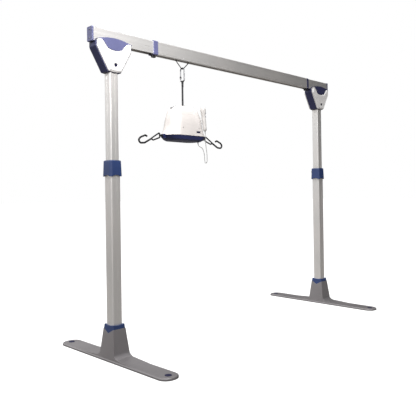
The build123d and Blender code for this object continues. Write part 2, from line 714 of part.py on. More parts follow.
def make_drum_drive():
    """Strap drum keyed to its shaft, a worm wheel, the worm and its motor."""
    with BuildPart() as drum:
        with Locations(Location((drum_x, 0, DRUM_Z), (90, 0, 0))):
            Cylinder(DRUM_RADIUS, 30)
            for y in (-14, 14):
                with Locations((0, 0, y)):
                    Cylinder(DRUM_RADIUS + 9, 2.4)
            Cylinder(6 + FIT, 60, mode=Mode.SUBTRACT)
        with Locations(Location((drum_x, 6, DRUM_Z), (90, 0, 0))):
            Cylinder(6, 82)
    write(drum, "strap_drum")

    teeth = 36
    wheel_radius = 36.0
    with BuildPart() as wheel:
        with BuildSketch(Plane.XZ.offset(-44)):
            with Locations((drum_x, DRUM_Z)):
                Circle(wheel_radius)
                with PolarLocations(wheel_radius, teeth):
                    Circle(1.5, mode=Mode.SUBTRACT)
                Circle(6 + FIT, mode=Mode.SUBTRACT)
        extrude(amount=12)
    write(wheel, "worm_wheel")

    worm_z = DRUM_Z - wheel_radius - 8
    with BuildPart() as worm:
        with Locations(Location((drum_x, 38, worm_z), (0, 90, 0))):
            Cylinder(7, 44)
        with BuildSketch(Plane.YZ.offset(drum_x + 22)):
            with Locations((38, worm_z)):
                Circle(4)
        extrude(amount=18)
    write(worm, "drive_worm")

    with BuildPart() as motor:
        with Locations(Location((drum_x + 41, 38, worm_z), (0, 90, 0))):
            Cylinder(21, 76, align=(Align.CENTER, Align.CENTER, Align.MIN))
        fillet(motor.edges().filter_by(GeomType.CIRCLE), 3)
    write(motor, "lift_motor")


def make_electrics():
    """Battery block, control board, cap over the charging contacts and the shoulder control."""
    with BuildPart() as battery:
        with Locations((UNIT_X + 68, -38, HULL_TOP - 8)):
            Box(96, 58, 62, align=(Align.CENTER, Align.CENTER, Align.MIN))
        fillet(battery.edges().filter_by(Axis.Z), 5)
    write(battery, "battery_pack")

    with BuildPart() as board:
        with Locations((UNIT_X - 112, 0, HULL_TOP - 8)):
            Box(2, 96, 66, align=(Align.CENTER, Align.CENTER, Align.MIN))
        for y, height, size in ((-28, 24, 20), (0, 40, 14), (26, 22, 24)):
            with Locations((UNIT_X - 107, y, HULL_TOP - 8 + height)):
                Box(8, size, size)
    write(board, "control_board")

    with BuildPart() as cap:
        with BuildSketch(Plane.XZ.offset(94)):
            with Locations((UNIT_X + 76, 1599)):
                SlotOverall(42, 14)
        extrude(amount=-12)
        fillet(cap.faces().sort_by(Axis.Y)[0].edges(), 2)
    write(cap, "charge_cap")

    with BuildPart() as control:
        with Locations(shoulder_location()):
            Box(64, 26, 14)
        fillet(control.edges().filter_by(Axis.Y), 4)
    write(control, "emergency_control")

    with BuildPart() as guide:
        with BuildSketch(Plane((TROLLEY_X, 0, UNIT_TOP - 14))):
            RectangleRounded(17.4, 35.4, 6)
        extrude(amount=14)
        with BuildSketch(Plane((TROLLEY_X, 0, UNIT_TOP))):
            RectangleRounded(26, 44, 8)
        extrude(amount=4)
        fillet(guide.edges().group_by(Axis.Z)[-1], 2)
        with BuildSketch(Plane((TROLLEY_X, 0, UNIT_TOP - 20))):
            RectangleRounded(STRAP_THICK + 3, STRAP_WIDTH + 3, 1.5)
        extrude(amount=40, mode=Mode.SUBTRACT)
        with Locations((UNIT_X + GLAND_X, GLAND_Y, HULL_BOTTOM - 4)):
            Cylinder(4, 12, align=(Align.CENTER, Align.CENTER, Align.MIN))
            Cylinder(7, 4, align=(Align.CENTER, Align.CENTER, Align.MIN))
    write(guide, "unit_grommets")


# ---- Sling hooks -------------------------------------------------------------------------
def make_hook_brackets():
    """Clevis at each end of the hull on a tongue under the base plate, with a cross pin."""
    with BuildPart() as brackets:
        for sign in (-1, 1):
            with Locations((UNIT_X + sign * 156, 0, PLATE_Z)):
                Box(36, 24, 11, align=(Align.CENTER, Align.CENTER, Align.MAX))
        add(bracket_blocks(0))
        fillet(brackets.edges().filter_by(Axis.Y).filter_by(
            lambda edge: abs(edge.center().X - TROLLEY_X) > BRACKET_END - 3), 6)
        for sign in (-1, 1):
            with Locations((TROLLEY_X + sign * (ARM_PIVOT + 8), 0, ARM_PIVOT_Z)):
                Box(40, 17, 80, mode=Mode.SUBTRACT)
            with Locations(Location((TROLLEY_X + sign * ARM_PIVOT, 0, ARM_PIVOT_Z), (90, 0, 0))):
                Cylinder(4 + FIT, 60, mode=Mode.SUBTRACT)
                Cylinder(4, 34)
    write(brackets, "hook_brackets")


def rod_along(points, radii, radius):
    """Round bar swept along straight runs joined by tangent arcs."""
    with BuildPart() as rod:
        with BuildLine() as path:
            FilletPolyline(*points, radius=radii)
        with BuildSketch(Plane(path.line @ 0, z_dir=path.line % 0)):
            Circle(radius)
        sweep()
    return rod.part


def make_sling_hook(side, sign):
    """Bent-bar arm: a triangular eye near the pivot and an open hook at the end."""
    def place(x, z):
        return (TROLLEY_X + sign * x, 0, z)

    eye = (place(240, 1565), place(240, 1584), place(326, 1533), place(303, 1524), place(240, 1546),
           place(240, 1566))
    hook = (place(316, 1536), place(384, 1500), place(424, 1497), place(441, 1519), place(420, 1539),
            place(376, 1556), place(361, 1548))
    with BuildPart() as arm:
        add(rod_along(eye, (7, 8, 9, 7), 5.5))
        add(rod_along(hook, (26, 18, 16, 16, 8), 6.8))
        with Locations(Location((TROLLEY_X + sign * ARM_PIVOT, 0, ARM_PIVOT_Z), (90, 0, 0))):
            Cylinder(9, 16)
        with Locations((TROLLEY_X + sign * (ARM_PIVOT + 18), 0, 1564)):
            Box(34, 8, 12)
        with Locations(Location((TROLLEY_X + sign * ARM_PIVOT, 0, ARM_PIVOT_Z), (90, 0, 0))):
            Cylinder(4 + CLEARANCE, 60, mode=Mode.SUBTRACT)
    write(arm, f"{side}_sling_hook")


# ---- Handset -----------------------------------------------------------------------------
# The handset hangs off the unit's front right corner, leaning out a little at the bottom.
HANDSET_MIDDLE = (TROLLEY_X + 147.0, -82.0, 1708.0)
HANDSET_LEAN = 4.8         # degrees from upright
OUT = sin(radians(45.0))   # the corner faces halfway between +X and -Y
lean_out = sin(radians(HANDSET_LEAN))
handset_up = Vector(-lean_out * OUT, lean_out * OUT, cos(radians(HANDSET_LEAN)))
handset_plane = Plane(HANDSET_MIDDLE, x_dir=(OUT, OUT, 0), z_dir=handset_up)
# Height along the handset, width and thickness of its sections.
HANDSET_SECTIONS = (
    (-94, 28, 19), (-86, 38, 27), (-40, 42, 31), (0, 43, 31), (28, 46, 32), (60, 54, 41), (84, 50, 36),
    (93, 40, 24),
)


def make_handset():
    """Two-part pendant body with up and down buttons on its outer face, and its holder."""
    with BuildPart() as body:
        for height, width, thick in HANDSET_SECTIONS:
            with BuildSketch(handset_plane.offset(height)):
                RectangleRounded(width, thick, thick * 0.42)
        loft()
        seam = Plane(HANDSET_MIDDLE, x_dir=(OUT, OUT, 0), z_dir=handset_plane.y_dir)
        for height in (48, 16):
            with BuildSketch(seam.offset(-26)):
                with Locations((0, -height)):
                    SlotOverall(24 + 2 * CLEARANCE, 15 + 2 * CLEARANCE)
            extrude(amount=19.5, mode=Mode.SUBTRACT)
    for name, keep in (("handset_back", Keep.TOP), ("handset_front", Keep.BOTTOM)):
        with BuildPart() as half:
            add(body.part)
            split(bisect_by=seam, keep=keep)
        write(half, name)

    for name, height, reach in (("handset_up_button", 48, 20.5), ("handset_down_button", 16, 17.5)):
        with BuildPart() as button:
            with BuildSketch(seam.offset(-reach)):
                with Locations((0, -height)):
                    SlotOverall(24, 15)
            extrude(amount=7)
        write(button, name)

    with BuildPart() as holder:
        with BuildSketch(seam.offset(18.5)):
            with Locations((0, 8)):
                RectangleRounded(30, 50, 8)
        extrude(amount=4)
        with BuildSketch(seam.offset(22.5)):
            with Locations((0, 8)):
                Circle(9)
        extrude(amount=7)
    write(holder, "handset_holder")


# ---- Handset cord --------------------------------------------------------------------------
# Route from the handset's lower end down, round a narrow loop and up to the hull's underside,
# as offsets in X from the strap, then Y and Z.
CORD_ROUTE = (
    (152.6, -87.6, 1614.1),
    (154.4, -89.4, 1583.5),
    (158.0, -86.0, 1547.0),
    (165.0, -81.0, 1508.0),
    (176.0, -78.0, 1468.0),
    (183.0, -76.0, 1428.0),
    (186.5, -73.5, 1396.0),
    (188.0, -71.0, 1376.0),
    (190.0, -62.5, 1366.5),
    (193.5, -50.0, 1364.5),
    (196.0, -39.0, 1371.5),
    (197.5, -35.0, 1385.0),
    (197.0, -35.5, 1408.0),
    (191.0, -38.0, 1438.0),
    (179.0, -40.0, 1468.0),
    (160.0, -43.0, 1486.0),
    (138.0, -45.0, 1492.0),
    (121.5, -45.0, 1500.0),
    (115.0, -45.0, 1512.5),
    (115.0, -45.0, 1525.9),
)


def make_cord():
    """Handset cord as straight runs and tangent arcs, and its gland in the hull."""
    points = [Vector(TROLLEY_X + x, y, z) for x, y, z in CORD_ROUTE]
    radii = []
    for before, here, after in zip(points, points[1:], points[2:]):
        turn = (here - before).get_angle(after - here)
        run = min((here - before).length, (after - here).length)
        radii.append(0.45 * run / tan(radians(turn / 2)))
    print("cord arc radii", [round(radius, 1) for radius in radii])
    with BuildPart() as cord:
        with BuildLine() as path:
            FilletPolyline(*points, radius=radii)
        with BuildSketch(Plane(path.line @ 0, z_dir=path.line % 0)):
            Circle(CORD_RADIUS)
        sweep()
    length = sum(edge.length for edge in path.edges())
    print("cord length", round(length, 1))
    ratio = cord.part.volume / (pi * CORD_RADIUS**2 * length)
    print("cord volume over section times length", round(ratio, 4))
    write(cord, "handset_cord")


for side, sign in SIDES:
    x = post_x(sign)
    make_foot(side, x)
    make_foot_collar(side, x)
    make_foot_plugs(side, x)
    write(square_tube(x, LOWER_TUBE, LOWER_TUBE_BOTTOM, LOWER_TUBE_TOP), f"{side}_lower_tube")
    write(square_tube(x, UPPER_TUBE, UPPER_TUBE_BOTTOM, UPPER_TUBE_TOP), f"{side}_upper_tube")
    make_mid_collar(side, x)
    make_height_pin(side, x)
    make_head_core(side, x)
    make_head_covers(side, x)
    make_head_saddle(side, x)
    make_head_bolts(side, x)
    make_end_cap(side, sign)

make_rail_centre()
make_rail_section("left", -RAIL_END, LEFT_JOINT + LEFT_OVERLAP, LEFT_JOINT)
make_rail_section("right", RIGHT_JOINT - RIGHT_OVERLAP, RAIL_END, RIGHT_JOINT)
make_joint_ring("rail_collar_left", LEFT_JOINT, LEFT_COLLAR, 3.0, 5.0)
make_joint_ring("rail_trim_right", RIGHT_JOINT, RIGHT_TRIM, 1.2, 3.0)
make_rail_pin("left", LEFT_JOINT)
make_rail_pin("right", RIGHT_JOINT)
make_trolley_stops()
make_trolley()
make_carabiner()
make_strap()
make_unit_cover()
make_unit_hull()
make_unit_frame()
make_drum_drive()
make_electrics()
make_hook_brackets()
for side, sign in SIDES:
    make_sling_hook(side, sign)
make_handset()
make_cord()
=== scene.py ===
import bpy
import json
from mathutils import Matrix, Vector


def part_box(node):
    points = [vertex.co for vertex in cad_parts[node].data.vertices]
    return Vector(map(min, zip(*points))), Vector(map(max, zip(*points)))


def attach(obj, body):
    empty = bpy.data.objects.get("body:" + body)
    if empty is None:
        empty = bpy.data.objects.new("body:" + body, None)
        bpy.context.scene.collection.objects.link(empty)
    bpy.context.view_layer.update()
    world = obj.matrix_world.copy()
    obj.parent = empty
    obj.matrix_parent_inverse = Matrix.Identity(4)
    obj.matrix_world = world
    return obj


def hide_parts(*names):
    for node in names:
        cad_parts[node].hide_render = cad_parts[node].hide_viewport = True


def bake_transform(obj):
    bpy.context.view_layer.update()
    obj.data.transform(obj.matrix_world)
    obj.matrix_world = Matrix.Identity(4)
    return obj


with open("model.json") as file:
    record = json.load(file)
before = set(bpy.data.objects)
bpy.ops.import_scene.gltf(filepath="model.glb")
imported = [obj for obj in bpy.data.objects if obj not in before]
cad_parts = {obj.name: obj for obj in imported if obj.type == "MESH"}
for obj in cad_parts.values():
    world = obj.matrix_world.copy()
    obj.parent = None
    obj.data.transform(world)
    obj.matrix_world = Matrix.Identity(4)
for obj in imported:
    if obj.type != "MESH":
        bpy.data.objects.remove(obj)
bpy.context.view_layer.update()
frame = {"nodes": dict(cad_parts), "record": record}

import json
import math

import bmesh
import bpy
from mathutils import Matrix, Vector

scene = bpy.context.scene
nodes = frame["nodes"]

# ---- Main places, in metres ------------------------------------------------------------
TROLLEY_X = -0.600
LIFT_SLOTS = {row["node"]: row["material_slot"] for row in frame["record"]["subparts"]}

# The handset hangs on the unit's front right corner, leaning out a little at its lower end.
DIAGONAL = math.sqrt(0.5)
HANDSET_LEAN = math.radians(4.8)
HANDSET_MIDDLE = Vector((TROLLEY_X + 0.147, -0.082, 1.708))
HANDSET_UP = Vector((
    -math.sin(HANDSET_LEAN) * DIAGONAL, math.sin(HANDSET_LEAN) * DIAGONAL, math.cos(HANDSET_LEAN),
))
HANDSET_SIDE = Vector((DIAGONAL, DIAGONAL, 0))
HANDSET_FACE = HANDSET_SIDE.cross(HANDSET_UP).normalized()

# Camera: place in metres, angles in radians, lens in millimetres, shift as a share of the picture.
CAMERA_PLACE = (-3.432, -3.037, 1.134)
CAMERA_YAW = math.radians(45.05)
CAMERA_PITCH = math.radians(0.31)
CAMERA_ROLL = -0.0148
CAMERA_LENS = 46.3
CAMERA_SHIFT = (0.0116, -0.0448)


# ---- Camera ----------------------------------------------------------------------------
def make_camera():
    """Eye-level view from the front left, as a moderate lens sees it."""
    level = Vector((math.cos(CAMERA_YAW), -math.sin(CAMERA_YAW), 0))
    ahead = Vector((math.sin(CAMERA_YAW), math.cos(CAMERA_YAW), 0))
    forward = ahead * math.cos(CAMERA_PITCH) + Vector((0, 0, 1)) * math.sin(CAMERA_PITCH)
    upright = level.cross(forward)
    right = level * math.cos(CAMERA_ROLL) + upright * math.sin(CAMERA_ROLL)
    up = upright * math.cos(CAMERA_ROLL) - level * math.sin(CAMERA_ROLL)
    data = bpy.data.cameras.new("view_camera")
    data.lens = CAMERA_LENS
    data.sensor_width = 36
    data.shift_x, data.shift_y = CAMERA_SHIFT
    data.clip_end = 200
    camera = bpy.data.objects.new("view_camera", data)
    scene.collection.objects.link(camera)
    turn = Matrix((right, up, -forward)).transposed().to_4x4()
    camera.matrix_world = Matrix.Translation(CAMERA_PLACE) @ turn
    scene.camera = camera


make_camera()


# ---- Mesh helpers ------------------------------------------------------------------------
def new_object(name, data):
    obj = bpy.data.objects.new(name, data)
    scene.collection.objects.link(obj)
    return obj


def mesh_object(name, points, faces, smooth=True):
    """Mesh with outward normals from a list of points and faces."""
    mesh = bpy.data.meshes.new(name)
    mesh.from_pydata([tuple(p) for p in points], [], faces)
    work = bmesh.new()
    work.from_mesh(mesh)
    bmesh.ops.remove_doubles(work, verts=work.verts, dist=1e-7)
    bmesh.ops.recalc_face_normals(work, faces=work.faces)
    work.to_mesh(mesh)
    work.free()
    for face in mesh.polygons:
        face.use_smooth = smooth
    return new_object(name, mesh)


def sweep_rings(rings, closed=False):
    """Points and faces of a tube through rings of equal size, capped unless closed."""
    count = len(rings[0])
    points = [p for ring in rings for p in ring]
    faces = []
    last = len(rings) if closed else len(rings) - 1
    for i in range(last):
        here, after = i * count, ((i + 1) % len(rings)) * count
        for k in range(count):
            step = (k + 1) % count
            faces.append((here + k, here + step, after + step, after + k))
    if not closed:
        faces.append(tuple(range(count - 1, -1, -1)))
        faces.append(tuple(range((len(rings) - 1) * count, len(rings) * count)))
    return points, faces


def frames_along(path):
    """Point, side and normal at each point of a path, turned as little as possible."""
    tangents = []
    for i in range(len(path)):
        before, after = path[max(i - 1, 0)], path[min(i + 1, len(path) - 1)]
        tangents.append((after - before).normalized())
    side = tangents[0].orthogonal().normalized()
    result = []
    for point, tangent in zip(path, tangents):
        side = (side - tangent * side.dot(tangent)).normalized()
        result.append((point, side, tangent.cross(side)))
    return result


def tube(name, path, radii, sides):
    """Round bar along a path, with a radius for each point."""
    rings = []
    for (point, side, normal), radius in zip(frames_along(path), radii):
        ring = []
        for k in range(sides):
            angle = math.tau * k / sides
            ring.append(point + (side * math.cos(angle) + normal * math.sin(angle)) * radius)
        rings.append(ring)
    return mesh_object(name, *sweep_rings(rings))


def lathe(name, place, axis, profile, sides=32):
    """Turned piece: profile is (distance along the axis, radius) pairs."""
    axis = Vector(axis).normalized()
    side = axis.orthogonal().normalized()
    normal = axis.cross(side)
    rings = []
    for along, radius in profile:
        centre = Vector(place) + axis * along
        ring = []
        for k in range(sides):
            angle = math.tau * k / sides
            ring.append(centre + (side * math.cos(angle) + normal * math.sin(angle)) * radius)
        rings.append(ring)
    return mesh_object(name, *sweep_rings(rings))


def smooth_by_angle(obj, degrees):
    """Shade smooth, but keep every edge sharp that turns by more than the angle."""
    work = bmesh.new()
    work.from_mesh(obj.data)
    for edge in work.edges:
        sharp = len(edge.link_faces) != 2 or edge.calc_face_angle(0) > math.radians(degrees)
        edge.smooth = not sharp
    work.to_mesh(obj.data)
    work.free()


# ---- Handset cord --------------------------------------------------------------------------
CORD_RADIUS = 0.0025
CORD_ROUTE = (
    (-0.4474, -0.0876, 1.6141),
    (-0.4456, -0.0894, 1.5835),
    (-0.4420, -0.0860, 1.5470),
    (-0.4350, -0.0810, 1.5080),
    (-0.4240, -0.0780, 1.4680),
    (-0.4170, -0.0760, 1.4280),
    (-0.4135, -0.0735, 1.3960),
    (-0.4120, -0.0710, 1.3760),
    (-0.4100, -0.0625, 1.3665),
    (-0.4065, -0.0500, 1.3645),
    (-0.4040, -0.0390, 1.3715),
    (-0.4025, -0.0350, 1.3850),
    (-0.4030, -0.0355, 1.4080),
    (-0.4090, -0.0380, 1.4380),
    (-0.4210, -0.0400, 1.4680),
    (-0.4400, -0.0430, 1.4860),
    (-0.4620, -0.0450, 1.4920),
    (-0.4785, -0.0450, 1.5000),
    (-0.4850, -0.0450, 1.5125),
    (-0.4850, -0.0450, 1.5259),
)


def cord_curve(name, bevel):
    """Smooth curve through the cord's route, as thick as the bevel radius."""
    data = bpy.data.curves.new(name, "CURVE")
    data.dimensions = "3D"
    data.resolution_u = 16
    data.bevel_depth = 1.0 if bevel else 0.0
    data.bevel_resolution = 6
    data.use_fill_caps = True
    spline = data.splines.new("NURBS")
    spline.points.add(len(CORD_ROUTE) - 1)
    for point, place in zip(spline.points, CORD_ROUTE):
        point.co = (*place, 1)
        point.radius = bevel
    spline.order_u = 3
    spline.use_endpoint_u = True
    spline.use_smooth = True
    return new_object(name, data)


def cord_line():
    """Points along the cord's own line, read from its curve."""
    bare = cord_curve("cord_line", 0)
    bpy.context.view_layer.update()
    mesh = bpy.data.meshes.new_from_object(bare.evaluated_get(bpy.context.evaluated_depsgraph_get()))
    line = [v.co.copy() for v in mesh.vertices]
    bpy.data.objects.remove(bare)
    bpy.data.meshes.remove(mesh)
    return line


def make_cord():
    cord = cord_curve("handset_lead", CORD_RADIUS)
    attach(cord, "lift_unit")
    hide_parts("handset_cord")
    line = cord_line()
    reliefs = [
        strain_relief("handset_relief", line, 0.024),
        strain_relief("unit_relief", line[::-1], 0.017),
    ]
    return cord, reliefs


def strain_relief(name, line, reach):
    """Ribbed tapered sleeve along the first part of the cord."""
    points, radii = [], []
    travelled = 0.0
    ribs = 5
    dense = [a.lerp(b, k / 8) for a, b in zip(line, line[1:]) for k in range(8)]
    for before, here in zip(dense, dense[1:]):
        travelled += (here - before).length
        if travelled > reach:
            break
        share = travelled / reach
        rib = 0.35e-3 * (0.5 + 0.5 * math.cos(math.tau * share * ribs))
        points.append(here)
        radii.append(CORD_RADIUS + 0.35e-3 + (1 - share) * 1.7e-3 + rib)
    keep = max(1, len(points) // 60)
    sleeve = tube(name, points[::keep], radii[::keep], 20)
    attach(sleeve, "lift_unit")
    return sleeve


cord, reliefs = make_cord()


# ---- Node materials ------------------------------------------------------------------------
class Finish:
    """One procedural material on the Principled shader."""

    def __init__(self, name, **sockets):
        self.material = bpy.data.materials.new(name)
        self.material.use_nodes = True
        self.tree = self.material.node_tree
        self.shader = self.tree.nodes["Principled BSDF"]
        for socket, value in sockets.items():
            self.shader.inputs[socket.replace("_", " ")].default_value = value
        self.place = self.add("ShaderNodeTexCoord").outputs["Object"]

    def add(self, kind, inputs=None, **settings):
        node = self.tree.nodes.new(kind)
        for key, value in settings.items():
            setattr(node, key, value)
        for key, value in (inputs or {}).items():
            self.put(node.inputs[key], value)
        return node

    def put(self, socket, value):
        if isinstance(value, bpy.types.NodeSocket):
            self.tree.links.new(value, socket)
        else:
            socket.default_value = value

    def noise(self, scale, detail=3.0, stretch=(1, 1, 1), rough=0.5):
        mapping = self.add("ShaderNodeMapping", {"Vector": self.place, "Scale": stretch})
        inputs = {"Vector": mapping.outputs[0], "Scale": scale, "Detail": detail, "Roughness": rough}
        return self.add("ShaderNodeTexNoise", inputs).outputs["Fac"]

    def cells(self, scale):
        inputs = {"Vector": self.place, "Scale": scale}
        return self.add("ShaderNodeTexVoronoi", inputs).outputs["Distance"]

    def range(self, value, low, high, out_low=0.0, out_high=1.0):
        """Value stretched from one span to another and held inside it."""
        inputs = {0: value, 1: low, 2: high, 3: out_low, 4: out_high}
        return self.add("ShaderNodeMapRange", inputs, clamp=True).outputs[0]

    def maths(self, operation, a, b):
        return self.add("ShaderNodeMath", {0: a, 1: b}, operation=operation).outputs[0]

    def plus(self, a, b):
        return self.maths("ADD", a, b)

    def times(self, a, b):
        return self.maths("MULTIPLY", a, b)

    def mix(self, factor, a, b):
        inputs = {0: factor, 6: a, 7: b}
        return self.add("ShaderNodeMix", inputs, data_type="RGBA").outputs[2]

    def rounded(self, radius):
        """Normal with the edges rounded off by the radius, and a mask of those edges."""
        bevel = self.add("ShaderNodeBevel", {"Radius": radius}, samples=4).outputs[0]
        flat = self.add("ShaderNodeNewGeometry").outputs["Normal"]
        inputs = {0: bevel, 1: flat}
        same = self.add("ShaderNodeVectorMath", inputs, operation="DOT_PRODUCT").outputs["Value"]
        return bevel, self.range(same, 0.985, 0.80)

    def crevice(self, reach):
        """Mask that is high in corners and narrow gaps."""
        open_air = self.add("ShaderNodeAmbientOcclusion", {"Distance": reach}, samples=4).outputs["AO"]
        return self.range(open_air, 0.75, 0.25)

    def bump(self, height, strength, distance, normal=None):
        inputs = {"Strength": strength, "Distance": distance, "Height": height}
        if normal is not None:
            inputs["Normal"] = normal
        return self.add("ShaderNodeBump", inputs).outputs[0]

    def finish(self, colour, rough, normal):
        self.put(self.shader.inputs["Base Color"], colour)
        self.put(self.shader.inputs["Roughness"], rough)
        self.put(self.shader.inputs["Normal"], normal)
        return self.material


def shade(colour, by):
    return tuple(c * by for c in colour[:3]) + (1.0,)


def moulded(name, colour, rough, grain=1400.0, depth=6e-5, dust_and_shade_amount=0.10, **sockets):
    """Injection-moulded plastic: fine grain, slight flow marks, rubbed edges, dust and painted shade in
    corners.
    """
    f = Finish(name, **sockets)
    normal, edges = f.rounded(0.0008)
    patches = f.noise(7.0, 4.0)
    tone = f.mix(f.range(patches, 0.35, 0.65), shade(colour, 0.93), shade(colour, 1.05))
    rubbed = f.times(edges, f.range(f.noise(60.0, 4.0), 0.42, 0.62, 0.0, 0.75))
    tone = f.mix(rubbed, tone, shade([min(1, c * 1.25 + 0.02) for c in colour], 1.0))
    # Painted shade and dust in corners: an occlusion mask, broken up by patches, mixes grey-brown into
    # the colour, darkening pale parts and greying dark ones.
    corner = f.times(f.crevice(0.010), f.range(patches, 0.3, 0.7, 0.3, 1.0))
    corner_dust_and_shade = f.times(corner, dust_and_shade_amount)
    tone = f.mix(corner_dust_and_shade, tone, (0.16, 0.15, 0.14, 1))
    smear = f.noise(22.0, 5.0, rough=0.6)
    roughness = f.range(smear, 0.3, 0.7, rough - 0.05, rough + 0.07)
    roughness = f.plus(roughness, f.times(edges, -0.06))
    fine = f.bump(f.noise(grain, 2.0), 0.5, depth, normal)
    return f.finish(tone, roughness, fine)


def extruded(name, colour, along, rough=0.34):
    """Anodised extrusion: die lines along its length, soft handling marks, clean bright edges."""
    f = Finish(name, Metallic=0.72)
    stretch = tuple(0.004 if k == along else 1.0 for k in range(3))
    lines = f.noise(1500.0, 3.0, stretch)
    broad = f.noise(160.0, 2.0, stretch)
    normal, edges = f.rounded(0.0009)
    cloud = f.noise(2.6, 4.0)
    tone = f.mix(f.range(lines, 0.35, 0.65), shade(colour, 0.94), shade(colour, 1.03))
    warmer = (colour[0] * 1.01, colour[1] * 0.97, colour[2] * 0.95)
    tone = f.mix(f.range(cloud, 0.4, 0.7, 0.0, 0.5), tone, shade(warmer, 0.95))
    scratches = f.range(f.noise(420.0, 2.0, (1, 1, 0.08)), 0.66, 0.74)
    scuffs = f.times(scratches, f.range(f.noise(5.0, 2.0), 0.52, 0.66))
    tone = f.mix(f.times(scuffs, 0.22), tone, shade(colour, 0.62))
    tone = f.mix(f.times(edges, 0.5), tone, shade([min(1.0, c * 1.12) for c in colour], 1.0))
    roughness = f.range(broad, 0.3, 0.7, rough - 0.05, rough + 0.05)
    roughness = f.plus(roughness, f.range(cloud, 0.35, 0.7, -0.02, 0.08))
    roughness = f.plus(roughness, f.times(scuffs, 0.12))
    return f.finish(tone, roughness, f.bump(lines, 0.35, 2.5e-5, normal))


def cast(name, colour, rough, **sockets):
    """Powder-coated casting: orange-peel skin, painted shade along the foot rim near the floor, chips
    and scuffs at its edges.
    """
    f = Finish(name, **sockets)
    normal, edges = f.rounded(0.0022)
    cloud = f.noise(4.0, 5.0)
    tone = f.mix(f.range(cloud, 0.3, 0.7), shade(colour, 0.93), shade(colour, 1.06))
    # Painted shade near the floor: the colour darkens over the lowest 20 mm of height, along the foot
    # rim.
    height = f.add("ShaderNodeSeparateXYZ", {0: f.place}).outputs[2]
    low = f.range(height, 0.020, 0.004)
    tone = f.mix(f.times(low, 0.32), tone, shade(colour, 0.45))
    specks = f.range(f.noise(2400.0, 1.0), 0.60, 0.72)
    tone = f.mix(f.times(specks, 0.16), tone, shade([min(1, c * 1.7) for c in colour], 1.0))
    chips = f.times(edges, f.range(f.noise(95.0, 5.0, rough=0.7), 0.56, 0.66))
    tone = f.mix(f.times(chips, 0.8), tone, (0.50, 0.49, 0.47, 1))
    streaks = f.range(f.noise(230.0, 3.0, (1, 0.12, 1)), 0.63, 0.70)
    scuff = f.times(streaks, f.range(f.noise(7.0), 0.5, 0.64))
    tone = f.mix(f.times(scuff, 0.28), tone, shade([min(1, c * 1.5) for c in colour], 1.0))
    roughness = f.range(cloud, 0.3, 0.7, rough - 0.05, rough + 0.06)
    roughness = f.plus(roughness, f.times(scuff, 0.15))
    peel = f.plus(f.noise(330.0, 2.0), f.times(f.noise(1300.0, 2.0), 0.4))
    return f.finish(tone, roughness, f.bump(peel, 0.5, 1.2e-4, normal))


def plated(name, colour, rough):
    """Plated or machined metal with fine polish lines, a cloudy tarnish, painted shade in its hollows
    and worn edges.
    """
    f = Finish(name, Metallic=1.0)
    normal, edges = f.rounded(0.0005)
    cloud = f.noise(45.0, 5.0, rough=0.6)
    tone = f.mix(f.range(cloud, 0.3, 0.7), shade(colour, 0.82), shade(colour, 1.05))
    # Painted shade: an occlusion mask darkens the colour towards near black in corners and narrow gaps.
    crevice_shade = f.times(f.crevice(0.004), 0.55)
    tone = f.mix(crevice_shade, tone, (0.06, 0.05, 0.045, 1))
    lines = f.noise(900.0, 3.0, (0.06, 1.0, 1.0))
    roughness = f.range(cloud, 0.3, 0.7, rough - 0.06, rough + 0.10)
    roughness = f.plus(roughness, f.times(edges, -0.08))
    return f.finish(tone, roughness, f.bump(lines, 0.4, 2e-5, normal))


def coated_rod(name, colour, bare, rough):
    """Black-coated bar: glossy thick coat with rubbed patches where slings hang."""
    f = Finish(name, Specular_IOR_Level=0.3)
    normal, edges = f.rounded(0.0006)
    cloud = f.noise(40.0, 4.0)
    tone = f.mix(f.range(cloud, 0.3, 0.7), shade(colour, 0.8), shade(colour, 1.3))
    rubs = f.range(f.noise(130.0, 5.0, rough=0.65), 0.64, 0.70)
    worn = f.times(rubs, f.range(f.noise(17.0), 0.55, 0.65))
    tone = f.mix(f.times(worn, 0.55), tone, bare)
    roughness = f.range(f.noise(75.0, 4.0), 0.3, 0.7, rough - 0.08, rough + 0.12)
    return f.finish(tone, roughness, f.bump(f.noise(520.0, 2.0), 0.45, 1.0e-4, normal))


def rubbery(name, colour, rough=0.72):
    """Matt rubber or soft cable sheath with a pale bloom."""
    f = Finish(name)
    cloud = f.noise(30.0, 4.0)
    tone = f.mix(f.range(cloud, 0.3, 0.7), shade(colour, 0.85), shade(colour, 1.15))
    bloom = shade([min(1, c * 1.4 + 0.03) for c in colour], 1)
    tone = f.mix(f.range(f.noise(210.0, 3.0), 0.6, 0.75, 0.0, 0.25), tone, bloom)
    roughness = f.range(cloud, 0.3, 0.7, rough - 0.07, rough + 0.08)
    return f.finish(tone, roughness, f.bump(f.noise(900.0, 3.0), 0.5, 9e-5))


def webbing(name, colour):
    """Woven polyester tape: a tight twill with raised edges and a soft sheen."""
    f = Finish(name, Sheen_Weight=0.08, Sheen_Roughness=0.5)
    split = f.add("ShaderNodeSeparateXYZ", {0: f.place})
    across, down = split.outputs[1], split.outputs[2]
    slant = f.plus(f.times(down, 2600.0), f.times(across, 2600.0))
    ribs = f.maths("SINE", slant, 0.0)
    cords = f.maths("SINE", f.times(across, 3900.0), 0.0)
    weave = f.plus(f.times(ribs, 0.5), f.times(cords, 0.35))
    fluff = f.noise(1500.0, 3.0)
    tone = f.mix(f.range(weave, -0.6, 0.7), shade(colour, 0.55), shade(colour, 1.5))
    fibres = shade([min(1, c * 2.2 + 0.03) for c in colour], 1)
    tone = f.mix(f.range(fluff, 0.5, 0.75, 0.0, 0.3), tone, fibres)
    roughness = f.range(fluff, 0.3, 0.7, 0.72, 0.92)
    return f.finish(tone, roughness, f.bump(f.plus(weave, fluff), 0.7, 2.2e-4))


